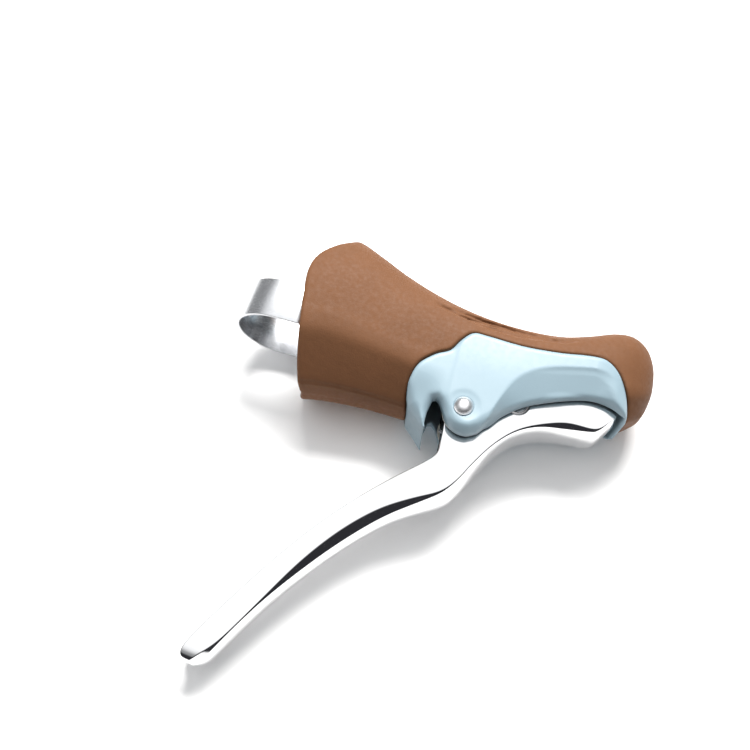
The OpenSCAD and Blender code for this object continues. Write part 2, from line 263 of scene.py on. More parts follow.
def fix_normals(obj):
    """Welds double points and turns all faces outwards."""
    bm = bmesh.new()
    bm.from_mesh(obj.data)
    bmesh.ops.remove_doubles(bm, verts=bm.verts, dist=1e-7)
    bmesh.ops.recalc_face_normals(bm, faces=bm.faces)
    bm.to_mesh(obj.data)
    bm.free()


def sharp_edges(obj, angle):
    """Shades edges steeper than the angle, in degrees, as edges."""
    bm = bmesh.new()
    bm.from_mesh(obj.data)
    limit = math.radians(angle)
    for e in bm.edges:
        e.smooth = not (len(e.link_faces) == 2 and e.calc_face_angle(0) > limit)
    bm.to_mesh(obj.data)
    bm.free()


def rounded(profile, r, steps=3):
    """A closed profile of (radius, distance) with its corners rounded to r."""
    p = [np.array(q, float) for q in profile]
    n = len(p)
    out = []
    for i in range(n):
        a, b, c = p[i - 1], p[i], p[(i + 1) % n]
        u, v = (a - b), (c - b)
        k = min(r, 0.45 * np.linalg.norm(u), 0.45 * np.linalg.norm(v))
        u, v = u / np.linalg.norm(u), v / np.linalg.norm(v)
        start, end = b + u * k, b + v * k
        for s in range(steps + 1):
            t = s / steps
            out.append((1 - t) ** 2 * start + 2 * t * (1 - t) * b + t * t * end)
    return [tuple(q) for q in out]


def tube(name, path, r, sides=14):
    """A round wire along a path."""
    rings = []
    path = [np.array(p, float) for p in path]
    for i, p in enumerate(path):
        a, b = path[max(i - 1, 0)], path[min(i + 1, len(path) - 1)]
        t = (b - a) / np.linalg.norm(b - a)
        u = np.cross(t, [0, 1, 0])
        u /= np.linalg.norm(u)
        v = np.cross(t, u)
        for k in range(sides):
            q = 2 * math.pi * k / sides
            rings.append(p + r * (math.cos(q) * u + math.sin(q) * v))
    faces = []
    for i in range(len(path) - 1):
        for k in range(sides):
            m = (k + 1) % sides
            faces.append((i * sides + k, i * sides + m, (i + 1) * sides + m, (i + 1) * sides + k))
    faces.append(tuple(range(sides - 1, -1, -1)))
    faces.append(tuple((len(path) - 1) * sides + k for k in range(sides)))
    obj = mesh_object(name, rings, faces)
    fix_normals(obj)
    sharp_edges(obj, 50)
    return obj


def combine(obj, operation, *tools, angle=38):
    """Adds closed tool pieces to a piece, or cuts them out of it."""
    for tool in tools:
        m = obj.modifiers.new("combine", "BOOLEAN")
        m.operation = operation
        m.solver = "EXACT"
        m.object = tool
    apply_modifiers(obj)
    for tool in tools:
        bpy.data.objects.remove(tool)
    sharp_edges(obj, angle)
    return obj


def drill(obj, *tools, angle=38):
    return combine(obj, "DIFFERENCE", *tools, angle=angle)


# ---- materials ---------------------------------------------------------------

class Nodes:
    """A node tree, with short calls for the nodes used here."""

    def __init__(self, tree, coordinates):
        self.tree = tree
        self.coords = self.new("ShaderNodeTexCoord").outputs[coordinates]

    def new(self, kind):
        return self.tree.nodes.new(kind)

    def link(self, a, b):
        self.tree.links.new(a, b)

    def span(self, value, low, high, to_low=0.0, to_high=1.0, kind="LINEAR"):
        """Takes low to to_low and high to to_high."""
        node = self.new("ShaderNodeMapRange")
        node.interpolation_type = kind
        for key, v in (("From Min", low), ("From Max", high), ("To Min", to_low), ("To Max", to_high)):
            node.inputs[key].default_value = v
        self.link(value, node.inputs["Value"])
        return node.outputs["Result"]

    def maths(self, operation, a, b=None):
        node = self.new("ShaderNodeMath")
        node.operation = operation
        self.link(a, node.inputs[0])
        if b is not None:
            self.link(b, node.inputs[1])
        return node.outputs[0]

    def along(self, direction):
        """How far a point lies in a direction."""
        node = self.new("ShaderNodeVectorMath")
        node.operation = "DOT_PRODUCT"
        node.inputs[1].default_value = direction
        self.link(self.coords, node.inputs[0])
        return node.outputs["Value"]

    def mix(self, factor, a, b):
        node = self.new("ShaderNodeMix")
        node.data_type = "RGBA"
        sockets = [x for x in node.inputs if x.enabled]
        for socket, value in zip(sockets, (factor, a, b)):
            if isinstance(value, float):
                socket.default_value = value
            elif isinstance(value, tuple):
                socket.default_value = (*value, 1)
            else:
                self.link(value, socket)
        return [x for x in node.outputs if x.enabled][0]


class Shader(Nodes):
    """A material on a Principled BSDF."""

    def __init__(self, name, **settings):
        self.material = bpy.data.materials.new(name)
        self.material.use_nodes = True
        super().__init__(self.material.node_tree, "Object")
        self.bsdf = self.tree.nodes["Principled BSDF"]
        for key, value in settings.items():
            self.bsdf.inputs[key.replace("_", " ")].default_value = value

    def stretched(self, scale):
        """The coordinates scaled axis by axis."""
        node = self.new("ShaderNodeMapping")
        node.inputs["Scale"].default_value = scale
        self.link(self.coords, node.inputs["Vector"])
        return node.outputs["Vector"]

    def noise(self, scale, detail=3.0, roughness=0.5, vector=None):
        node = self.new("ShaderNodeTexNoise")
        node.inputs["Scale"].default_value = scale
        node.inputs["Detail"].default_value = detail
        node.inputs["Roughness"].default_value = roughness
        self.link(vector or self.coords, node.inputs["Vector"])
        return node.outputs["Fac"]

    def cells(self, scale):
        node = self.new("ShaderNodeTexVoronoi")
        node.inputs["Scale"].default_value = scale
        self.link(self.coords, node.inputs["Vector"])
        return node.outputs["Distance"]

    def ramp(self, value, stops):
        """A colour ramp: stops are [(place, colour)]."""
        node = self.new("ShaderNodeValToRGB")
        elements = node.color_ramp.elements
        while len(elements) < len(stops):
            elements.new(0.5)
        for element, (at, colour) in zip(elements, stops):
            element.position = at
            element.color = (*colour, 1)
        self.link(value, node.inputs["Fac"])
        return node.outputs["Color"]

    def colour(self, value):
        self.link(value, self.bsdf.inputs["Base Color"])

    def rough(self, value):
        self.link(value, self.bsdf.inputs["Roughness"])

    def bump(self, height, distance, strength=1.0, below=None):
        node = self.new("ShaderNodeBump")
        node.inputs["Strength"].default_value = strength
        node.inputs["Distance"].default_value = distance
        self.link(height, node.inputs["Height"])
        if below is not None:
            self.link(below, node.inputs["Normal"])
        self.link(node.outputs["Normal"], self.bsdf.inputs["Normal"])
        return node.outputs["Normal"]


def shade(colour, factor):
    return tuple(min(1.0, c * factor) for c in colour)


def rubber_material():
    s = Shader("hood_rubber", Specular_IOR_Level=0.2)
    brown = (0.152, 0.066, 0.029)
    broad = s.noise(45, 3)
    mottled = s.noise(420, 4, 0.6)
    base = s.ramp(broad, [(0.3, shade(brown, 0.92)), (0.7, shade(brown, 1.07))])
    dust = s.ramp(mottled, [(0.42, (0, 0, 0)), (0.72, (0.55, 0.55, 0.55))])
    s.colour(s.mix(s.span(dust, 0, 1, 0, 0.22), base, shade(brown, 1.5)))
    s.rough(s.span(s.noise(900, 3), 0.3, 0.7, 0.56, 0.74))
    coarse = s.bump(s.noise(650, 4, 0.6), 0.00012, 0.5)
    s.bump(s.cells(2600), 0.00006, 0.35, coarse)
    return s.material


# Where painted shade darkens the bracket's inside between the cheeks, seen through the slot, in metres
# and each with a soft edge: near the mid-plane, and over a slanted plane or high enough, and behind the
# nose
PAINTED_SHADE_HALF = (0.00905, 0.0087)
PAINTED_SHADE_SLANT, PAINTED_SHADE_OVER = (0.872, 0, 1), (0.0180, 0.0183)
PAINTED_SHADE_HIGH = (-0.0202, -0.0194)
PAINTED_SHADE_NOSE = (0.1012, 0.1008)


def paint_material():
    s = Shader("bracket_paint", Specular_IOR_Level=0.42, Coat_Weight=0.14, Coat_Roughness=0.28)
    blue = (0.272, 0.372, 0.428)
    broad = s.noise(60, 3)
    speck = s.cells(3800)
    base = s.ramp(broad, [(0.3, shade(blue, 0.97)), (0.7, shade(blue, 1.03))])
    flake = s.ramp(speck, [(0.0, shade(blue, 1.12)), (0.35, blue), (1.0, shade(blue, 0.97))])
    between = s.span(s.maths("ABSOLUTE", s.along((0, 1, 0))), *PAINTED_SHADE_HALF)
    over = s.maths("MAXIMUM", s.span(s.along(PAINTED_SHADE_SLANT), *PAINTED_SHADE_OVER),
                   s.span(s.along((0, 0, 1)), *PAINTED_SHADE_HIGH))
    inside = s.maths("MULTIPLY", over, s.span(s.along((1, 0, 0)), *PAINTED_SHADE_NOSE))
    # painted shade: a near-black colour in place of the paint where shade falls inside the cavity and
    # slot
    painted_cavity_shade = s.mix(s.noise(900, 4), (0.018, 0.024, 0.028), (0.05, 0.062, 0.07))
    s.colour(s.mix(s.maths("MULTIPLY", between, inside), s.mix(0.35, base, flake), painted_cavity_shade))
    s.rough(s.span(s.noise(700, 4), 0.3, 0.7, 0.38, 0.5))
    s.bump(s.noise(520, 2), 0.00004, 0.22)
    return s.material


def alloy_material():
    s = Shader("blade_alloy", Metallic=1.0)
    silver = (0.86, 0.86, 0.865)
    broad = s.noise(30, 3)
    s.colour(s.ramp(broad, [(0.3, shade(silver, 0.975)), (0.7, silver)]))
    lines = s.noise(90, 6, 0.7, s.stretched((1, 38, 1)))
    s.rough(s.span(s.mix(0.4, s.noise(160, 4), lines), 0.3, 0.7, 0.045, 0.11))
    wave = s.bump(s.noise(55, 2), 0.0005, 0.05)
    s.bump(lines, 0.00003, 0.06, wave)
    return s.material


def steel_material(name, colour, rough, turned, grain=900, coat=0.0):
    """Metal with fine marks; turned squeezes them along an axis."""
    s = Shader(name, Metallic=1.0, Coat_Weight=coat)
    broad = s.noise(70, 3)
    marks = s.noise(grain, 5, 0.65, s.stretched(turned))
    base = s.ramp(broad, [(0.3, shade(colour, 0.88)), (0.7, shade(colour, 1.06))])
    s.colour(s.mix(0.3, base, s.ramp(marks, [(0.3, shade(colour, 0.8)), (0.7, shade(colour, 1.1))])))
    s.rough(s.span(marks, 0.3, 0.7, rough * 0.75, rough * 1.3))
    s.bump(marks, 0.00004, 0.3)
    return s.material


def plastic_material(name, colour, rough):
    s = Shader(name, Specular_IOR_Level=0.45)
    base = s.ramp(s.noise(120, 4), [(0.3, shade(colour, 0.93)), (0.7, shade(colour, 1.05))])
    speck = s.ramp(s.cells(3000), [(0.0, shade(colour, 0.9)), (0.4, colour)])
    s.colour(s.mix(0.3, base, speck))
    s.rough(s.span(s.noise(800, 3), 0.3, 0.7, rough * 0.85, rough * 1.15))
    s.bump(s.noise(1500, 3), 0.00005, 0.25)
    return s.material


def bronze_material():
    s = Shader("bush_bronze", Metallic=1.0)
    bronze = (0.55, 0.36, 0.16)
    base = s.ramp(s.noise(150, 4), [(0.3, shade(bronze, 0.8)), (0.7, shade(bronze, 1.1))])
    pores = s.ramp(s.cells(5200), [(0.0, shade(bronze, 0.45)), (0.22, bronze)])
    s.colour(s.mix(0.45, base, pores))
    s.rough(s.span(s.noise(900, 3), 0.3, 0.7, 0.26, 0.42))
    s.bump(s.cells(5200), 0.00003, 0.4)
    return s.material


MATERIALS = {
    "hood_rubber": rubber_material(),
    "bracket_paint": paint_material(),
    "blade_alloy": alloy_material(),
    "pivot_steel": steel_material("pivot_steel", (0.9, 0.9, 0.91), 0.34, (1, 1, 1), 400),
    "bush_bronze": bronze_material(),
    "nylon": plastic_material("nylon", (0.78, 0.76, 0.68), 0.45),
    "spring_steel": steel_material("spring_steel", (0.34, 0.35, 0.37), 0.28, (1, 6, 1)),
    "plated_steel": steel_material("plated_steel", (0.78, 0.78, 0.79), 0.22, (1, 1, 8)),
    "band_steel": steel_material("band_steel", (0.66, 0.67, 0.69), 0.24, (1, 1, 22)),
    "bolt_steel": steel_material("bolt_steel", (0.055, 0.055, 0.06), 0.36, (8, 1, 1), coat=0.15),
    "bumper_rubber": plastic_material("bumper_rubber", (0.022, 0.022, 0.024), 0.62),
}


def finish_piece(obj, body, slot, *nodes):
    """Gives a piece its material and body, and hides the CAD nodes that it stands for."""
    obj.data.materials.clear()
    obj.data.materials.append(MATERIALS[slot])
    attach(obj, body)
    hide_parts(*nodes)


# ---- hood and bracket --------------------------------------------------------

# The hood's outer skin: (X, top Z, lowest Z, half width)
HOOD_STATIONS = [
    (2, 23.5, -23.2, 17.4), (9, 27.6, -22.6, 17.4), (16, 28.2, -21.2, 17), (24, 25.1, -20.3, 16.3),
    (32, 21.5, -20, 15.4), (41, 18.2, -20.2, 14.8), (50, 15.7, -21, 14.6),
    (60, 14, -21, 14.6), (70, 13.5, -20, 14.6), (80, 14.3, -18, 14.5), (88, 16.8, -15, 14.2),
    (95, 19.8, -12, 13.4), (100.5, 20.6, -10, 12), (105, 18.4, -6.4, 9.4),
    (107.8, 14, -1.6, 6.2), (109, 9.4, 3.4, 2.4), (109.4, 6.6, 6.4, 0.2)]
SQUARE_TOP = 2.7              # how square the section's upper half is; 2 is an ellipse
# Lower half of the section: shares of its half width and depth
LOW_SECTION = [(1, 0), (1, 0.14), (1, 0.28), (0.955, 0.44), (0.82, 0.59), (0.61, 0.78), (0.42, 0.93),
               (0.3, 0.97), (0.14, 1), (0, 1)]
# Outlines in X and Z: the rubber's rear rim, its edge over the flank, the flank's lower edge, the
# ear round the pivot, the tail behind the blade, and the edge of the flank's sunken lower band
RIM = spline([[12.4, -26], [11.4, -21], [9.9, -15.6], [8.3, -7], [6.6, 2], [5.6, 9.6], [6.8, 15.6],
              [10.6, 20.8], [14.6, 25], [17, 31]], 8)
HOOD_EDGE = spline([[43.2, -20.2], [42.2, -17.4], [41.8, -13.4], [43.2, -8.6], [46.8, -4.8],
                    [50.6, -2.4], [52.8, 1.4], [55.6, 4.4], [60, 4.6], [70, 4.3], [80, 5.2],
                    [88, 6.6], [93, 6.6], [97.4, 3.8], [100.6, -1], [102.6, -6]], 6)
FLANK_EDGE = spline([[102.4, -7.8], [100.6, -6.9], [97, -5.3], [91, -4.9], [83, -7.4],
                     [75, -11.2], [69.4, -15.6], [66.4, -19.6], [63.6, -22.8]], 6)
EAR = arc(59.4, -17.9, 6.6, 285, 215, 14)
TAIL = [[51.6, -17.6], [50.4, -16.6], [49.4, -17.2], [48.8, -21], [48.9, -24], [49.7, -26]]
BEVEL = spline([[63.4, -23.4], [64.9, -19.7], [66.7, -13.6], [69.4, -7.2], [73, -3.2], [78, -0.4],
                [84.5, 1.6], [91.2, 2.9], [95.5, 1.9], [99, -2.2], [101.4, -7.4]], 6)


def hood_distance(X, Y, Z, step):
    """Rough distance to the hood's outer skin, negative inside."""
    curve = spline(HOOD_STATIONS, 12)
    x = X[:, 0, 0]
    top, low, wide = (np.interp(x, curve[:, 0], curve[:, k]) for k in (1, 2, 3))
    past = x > curve[-1, 0]
    wide = np.where(past, 0.2, wide)[:, None, None]
    middle = ((top + low) / 2)[:, None, None]
    half = np.where(past, 0.2, (top - low) / 2)[:, None, None]
    across, up = np.abs(Y) / wide, (Z - middle) / half
    top_gauge = (across ** SQUARE_TOP + np.abs(up) ** SQUARE_TOP) ** (1 / SQUARE_TOP)
    low_curve = spline(LOW_SECTION, 6)
    turn = np.arctan2(low_curve[:, 1], low_curve[:, 0])
    reach = np.interp(np.arctan2(-up, across), turn, np.hypot(low_curve[:, 0], low_curve[:, 1]))
    q = np.where(up > 0, top_gauge, np.hypot(across, up) / reach)
    slope = np.sqrt(sum(g * g for g in np.gradient(q, step)))
    return (q - 1) / np.maximum(slope, 1e-2)


def plane_field(X, Y, Z, poly, across="y"):
    """Distance to a prism of an outline: across is the axis the prism runs along."""
    if across == "y":
        return polygon_distance(X[:, 0, :], Z[:, 0, :], poly)[:, None, :]
    if across == "z":
        return polygon_distance(X[:, :, 0], Y[:, :, 0], poly)[:, :, None]
    return polygon_distance(Y[0], Z[0], poly)[None, :, :]


# Creases in the rubber above the flank: points in X and Z, depth, width
FOLDS = [
    ([[43.4, 11.2], [45.6, 10.5], [49.6, 9.8], [53.8, 8.9], [57.5, 8.2]], 0.9, 0.5),
    ([[48, 11.2], [52, 10.6], [56.3, 10.3], [62.2, 10.1], [71, 9.6], [77, 9.7]], 1.2, 0.5),
    ([[50.5, 9.3], [56.6, 9.1], [62.5, 8.9], [67.3, 8.8], [74, 8.9]], 1.05, 0.45),
    ([[56, 7.8], [62, 7.6], [68, 7.6], [73, 7.9]], 0.7, 0.45),
    ([[70, 8.2], [75, 8.6], [80, 9.6], [84, 11]], 0.7, 0.5)]


def make_hood():
    step = 0.42
    low, high = (2.1, -18.7, -24.5), (110.6, 18.7, 30)
    X, Y, Z = grid(low, high, step)
    skin = hood_distance(X, Y, Z, step)
    dent = np.zeros_like(skin)
    near = np.abs(skin) < 2.0
    px, py, pz = X[near], np.abs(Y[near]), Z[near]
    for points, depth, width in FOLDS:
        # a fold runs over the skin, so only its side view counts
        d, where = line_distance(np.insert(spline(points, 6), 1, 0, axis=1), px, 0 * py, pz)
        fade = depth * np.sin(np.pi * np.clip(where, 0.02, 0.98)) ** 0.6 * (py > 4)
        dent[near] += fade * np.exp(-(d / width) ** 2)
        dent[near] -= 0.15 * fade * np.exp(-((d - 2.2 * width) / width) ** 2)
    # the moulding line along the chine
    curve = spline(HOOD_STATIONS, 4)
    centre, deep = (curve[:, 1] + curve[:, 2]) / 2, (curve[:, 1] - curve[:, 2]) / 2
    pts = np.stack([curve[:, 0], 0.4 * curve[:, 3], centre - 0.945 * deep], 1)[curve[:, 0] < 48]
    d, _ = line_distance(pts, px, py, pz)
    dent[near] += 0.35 * np.exp(-(d / 0.4) ** 2)
    shell = cut_round(skin + dent, -(skin + HOOD_T - 0.1), 0.5)
    under = np.concatenate([[[43.1, -60], [43.1, -20.3]], HOOD_EDGE + [-0.05, 0.05],
                            [[103.1, -6.2], [106, -4.2], [112, -2.6], [180, -2.6], [180, -60]]])
    shell = cut_round(shell, -plane_field(X, Y, Z, under), 0.75)
    behind = np.concatenate([[[-20, -60], [11, -60]], RIM, [[17, 40], [-20, 40]]])
    shell = cut_round(shell, -plane_field(X, Y, Z, behind), 1.0)
    shell = np.maximum(shell, -(np.hypot(X, Y) - BAR_R - 0.5))
    # room in the rim, where the housing turns up along the bar
    relief = np.maximum.reduce([np.abs(Y) - 3.4, X - 17.6, 16 - Z])
    shell = cut_round(shell, -relief, 0.6)
    return from_field("hood_shell", shell, low, step)


def flank_height(x, z):
    """How far out the flank's face stands, over a grid in X and Z."""
    flank = np.concatenate([HOOD_EDGE, FLANK_EDGE, EAR, TAIL])
    edge = polygon_distance(x, z, flank)
    band = np.concatenate([BEVEL, [[120, -7.4], [120, -60], [63.4, -60]]])
    past = np.maximum(-polygon_distance(x, z, band), 0)
    share = past / np.maximum(past + np.maximum(-edge, 0.05), 0.1)
    out = np.full(x.shape, SIDE) - 3.3 * share * (past > 0)
    # the ear's face is dished round the pivot
    r = np.hypot(x - PIVOT[0], z - PIVOT[2])
    out -= 0.22 * (1 - smoothstep(3.2, 5.2, r))
    # the ear's rim and the lower edge behind it roll away, and the tail curls in
    lower = smoothstep(-14, -20, z) * smoothstep(68, 63, x)
    out -= 1.5 * lower * (1 - smoothstep(0, 3.4, -edge)) ** 2
    out -= 3.2 * smoothstep(0, 1, (54 - x) / 9) * smoothstep(0, 1, (-8 - z) / 14)
    out += 0.25 * np.exp(-(((x - 66) / 16) ** 2 + ((z + 4) / 8) ** 2))
    return out, edge


def make_body():
    step = 0.4
    low, high = (3.9, -16.1, -28.3), (106, 16.3, 27.2)
    X, Y, Z = grid(low, high, step)
    out, edge = flank_height(X[:, 0, :], Z[:, 0, :])
    gx, gz = np.gradient(out, step)
    steep = np.sqrt(1 + gx * gx + gz * gz)
    side = (np.abs(Y) - out[:, None, :]) / steep[:, None, :]
    flank = cut_round(edge[:, None, :], side, 1.3)
    # the nose narrows, as seen from above
    left = [[88, 16.3], [93, 14.5], [98, 12.7], [102, 9.1], [104, 0]]
    right = [[x, -y] for x, y in left[:-1]]
    nose = np.concatenate([[[30, -60], [84, -18.4]], spline(right + left[::-1], 6),
                           [[84, 18.4], [30, 60]]])
    flank = cut_round(flank, plane_field(X, Y, Z, nose, "z"), 0.9)
    # the tail's underside is round across
    turn = np.radians(np.arange(0, 181, 6))
    power = 2 / 3.6
    tail = np.stack([SIDE * np.sign(np.cos(turn)) * np.abs(np.cos(turn)) ** power,
                     -12 - 15.6 * np.abs(np.sin(turn)) ** power], 1)
    tail = np.concatenate([tail, [[-SIDE, 40], [SIDE, 40]]])
    trimmed = cut_round(flank, plane_field(X, Y, Z, tail, "x"), 0.6)
    flank = flank + (trimmed - flank) * (1 - smoothstep(51.6, 53.6, X))
    # the core fills the hood
    core = np.maximum(hood_distance(X, Y, Z, step) + HOOD_T + 0.05, X - 105)
    core = np.where(X < 16, np.maximum(core, np.abs(Z) - SADDLE_TOP), core)
    below = np.concatenate([[[120, -8.3]], FLANK_EDGE + [0, 0.1], EAR + [0, 0.1],
                            [[51.6, -17.5], [48.6, -17.1], [48.6, -60], [120, -60]]])
    core = np.maximum(core, -plane_field(X, Y, Z, below))
    solid = np.minimum(core, flank)
    cavity = np.concatenate([[[49.3, -60], [49.3, -24.2], [47.8, -22.4], [46.6, -20.6], [43.6, -15.4],
                              [CAVITY_BACK, -12.4], [CAVITY_BACK, 10.6]],
                             spline([[40, 10.6], [52, 8.6], [64, 7.6], [84, 7.4], [94, 5.4],
                                     [101, -1]], 5), [[101.6, -12], [101.6, -60]]])
    room = np.maximum(plane_field(X, Y, Z, cavity), np.abs(Y) - CAVITY_HALF)
    solid = cut_round(solid, -room, 0.5)
    behind = np.concatenate([[[-20, -60], [11.8, -60]], RIM + [0.8, 0], [[17.8, 40], [-20, 40]]])
    along = (ANCHOR[0] - X) * math.cos(SLOPE) + (Z - ANCHOR[2]) * math.sin(SLOPE)
    line = cylinder_distance(ANCHOR, CABLE, 0, X, Y, Z)
    for cut in (
            # the bar, the rim, the band's slot, and the bolt's hole and head
            np.hypot(X, Y) - BAR_R,
            plane_field(X, Y, Z, behind),
            np.maximum.reduce([np.abs(Y) - BAR_R - 1.3, np.abs(Z) - 6.4, X - 20.8]),
            np.maximum(np.hypot(Y, Z) - 3.3, np.abs(X - 24) - 13),
            np.maximum(np.hypot(Y, Z) - 5.4, np.abs(X - 32) - 5),
            # the housing stop and the cable guide
            np.maximum(line - STOP_R - SEAT_GAP, STOP_SEAT - along),
            np.maximum.reduce([line - LINER_R - SEAT_GAP, along - STOP_SEAT - 1, 36 - along])):
        solid = cut_round(solid, -cut, 0.25)
    for cut in (
            # the pivot pin, the spring's leg and the bumper's stem
            cylinder_distance(PIVOT, ACROSS, PIN_R + 0.02, X, Y, Z),
            np.maximum(np.hypot(Y + 3.4, Z + 8.4) - 0.85, np.abs(X - 35) - 2),
            np.maximum(np.hypot(X - 89, Y) - 2.0, np.abs(Z - 5.1) - 5.1)):
        solid = np.maximum(solid, -cut)
    return from_field("bracket", solid, low, step)


finish_piece(make_hood(), "bracket", "hood_rubber", "hood")
finish_piece(make_body(), "bracket", "bracket_paint", "lever_body")


# ---- blade -------------------------------------------------------------------

# Stations from the tip: (front X, front Z, back X, back Z, half width, crown of the front face,
# depth of the rolled strip beside it)
BLADE_STATIONS = [
    (9.6, -100, 6.8, -99.6, 3.4, 0.8, 1.0), (12.2, -98.2, 4.9, -97.4, 5.1, 1.0, 2.2),
    (15.2, -93.2, 7.4, -91.4, 5.8, 1.2, 0.5), (22, -81.4, 14.2, -79.4, 6, 1.3, 0.5),
    (30, -69.8, 21.8, -67, 6.1, 1.4, 1.8), (38.2, -59.8, 30, -55.6, 6.3, 1.6, 2.4),
    (46.4, -51.8, 38.2, -46.2, 6.7, 1.9, 2.2), (54, -46.6, 45.8, -38.8, 7.3, 2.3, 1.4),
    (60, -42.4, 50.7, -34.4, 7.8, 2.5, 0.5), (63.4, -37.4, 54.1, -30.6, 8, 2.2, 0.25),
    (66.4, -31, 54.2, -26.6, 8, 1.9, 0.25), (70.2, -24.4, 53.8, -20.6, 8, 1.7, 0.3),
    (75.2, -19, 52.6, -12.4, 8, 1.6, 0.45), (81.4, -15.8, 60, -7.2, 8, 1.6, 0.9),
    (89, -14.6, 76, -3.4, 8, 1.7, 2), (95.4, -14, 88, -2, 8, 1.7, 0.7),
    (98, -11, 95.2, -2.3, 8, 1.6, 0.15), (100, -8, 98.8, -3.4, 7.8, 1.5, 0.1)]
STRIP_SLOPE = math.tan(math.radians(38))              # the strip's face, off the blade's side


def blade_section(s, hollow):
    """Half a section from the back's middle round to the front's: (depth from the front, share
    of the half width). hollow goes from 0, a shallow groove, to 1, the channel between cheeks."""
    depth = math.hypot(s[0] - s[2], s[1] - s[3])
    crown, strip = s[5], s[6]
    edge = 1 - STRIP_SLOPE * strip / s[4]
    shallow = depth - 0.7
    floor = shallow + (WEB_T - shallow) * hollow if depth > WEB_T + 1 else shallow
    inner = 0.56 + (1 - CHEEK_T / BLADE_HALF - 0.56) * hollow
    return [
        (floor, 0.0), (floor, 0.6 * inner), (floor + 0.05, 0.93 * inner),
        (floor + 0.35 * (depth - floor), inner), (depth - 0.12, inner + 0.01),
        (depth, inner + 0.06), (depth, 0.93), (depth - 0.3, 0.99), (depth - 0.8, 1.0),
        (0.5 * (depth + crown + strip), 1.0), (crown + strip + 0.5, 1.0),
        (crown + strip, 0.997), (crown + 0.5 * strip, 0.5 + 0.5 * edge), (crown, edge),
        (0.76 * crown, 0.9 * edge), (0.4 * crown, 0.66 * edge), (0.1 * crown, 0.33 * edge), (0.0, 0.0)]


RIDGE = 13                    # point of the half section where the crown starts
CREASED = {5: 0.35, 7: 0.4, 11: 0.75, RIDGE: 0.85}    # points of the half section, edge creases
CHANNEL_FIRST, CHANNEL_LAST = 9, 15                   # stations that the channel runs between
END_FACET = 15                # station where the top end's facet starts
PER_STATION = 3


def make_blade():
    rows = spline(BLADE_STATIONS, PER_STATION)
    count = len(blade_section(rows[0], 0))
    ring = 2 * count - 2
    points = []
    for i, s in enumerate(rows):
        at = i / PER_STATION
        hollow = float(smoothstep(CHANNEL_FIRST - 0.7, CHANNEL_FIRST + 0.1, at)
                       * (1 - smoothstep(CHANNEL_LAST - 0.3, CHANNEL_LAST + 0.35, at)))
        f, b = np.array([s[0], 0, s[1]]), np.array([s[2], 0, s[3]])
        u = (b - f) / np.linalg.norm(b - f)
        half = blade_section(s, hollow)
        for d, w in half:
            points.append(f + u * d + [0, -w * s[4], 0])
        for d, w in half[-2:0:-1]:
            points.append(f + u * d + [0, w * s[4], 0])
    faces = []
    for i in range(len(rows) - 1):
        for k in range(ring):
            m = (k + 1) % ring
            faces.append((i * ring + k, i * ring + m, (i + 1) * ring + m, (i + 1) * ring + k))
    last = (len(rows) - 1) * ring
    # close each end with strips across, from side to side
    for base, turn in ((0, 1), (last, -1)):
        for k in range(count - 1):
            a, b = base + k, base + k + 1
            c, d = base + (ring - k) % ring, base + (ring - k - 1) % ring
            corners = list(dict.fromkeys([a, b, d, c]))
            if len(corners) > 2:
                faces.append(tuple(corners[::turn]))
    obj = mesh_object("blade", points, faces)
    fix_normals(obj)
    crease = obj.data.attributes.new("crease_edge", "FLOAT", "EDGE").data
    for e in obj.data.edges:
        a, b = e.vertices
        ra, rb, ka, kb = a // ring, b // ring, a % ring, b % ring
        if ra != rb and ka == kb:
            k = min(ka, ring - ka)
            crease[e.index].value = CREASED.get(k, 0.0)
        elif ra == rb == END_FACET * PER_STATION and min(ka, ring - ka) >= RIDGE:
            crease[e.index].value = 0.8
        elif ra == rb and ra in (0, len(rows) - 1) and abs(ka - kb) in (1, ring - 1):
            crease[e.index].value = 0.45
    sub = obj.modifiers.new("sub", "SUBSURF")
    sub.levels = sub.render_levels = 2
    apply_modifiers(obj)
    holes = [lathe("hole", [(r, -12), (r, 12)], at, ACROSS, 72)
             for at, r in ((PIVOT, BUSH_R), (ANCHOR, ANCHOR_HOLE_R))]
    return drill(obj, *holes, angle=40)


finish_piece(make_blade(), "blade", "blade_alloy", "lever_blade")


# ---- pivot, spring and cable parts ---------------------------------------------

# The domed ends of the pin: (radius, height over the flank)
DOME = [(0.7, 1.47), (1.35, 1.27), (1.9, 0.93), (2.35, 0.46), (2.6, 0.12), (2.66, 0.0), (2.58, -0.08)]


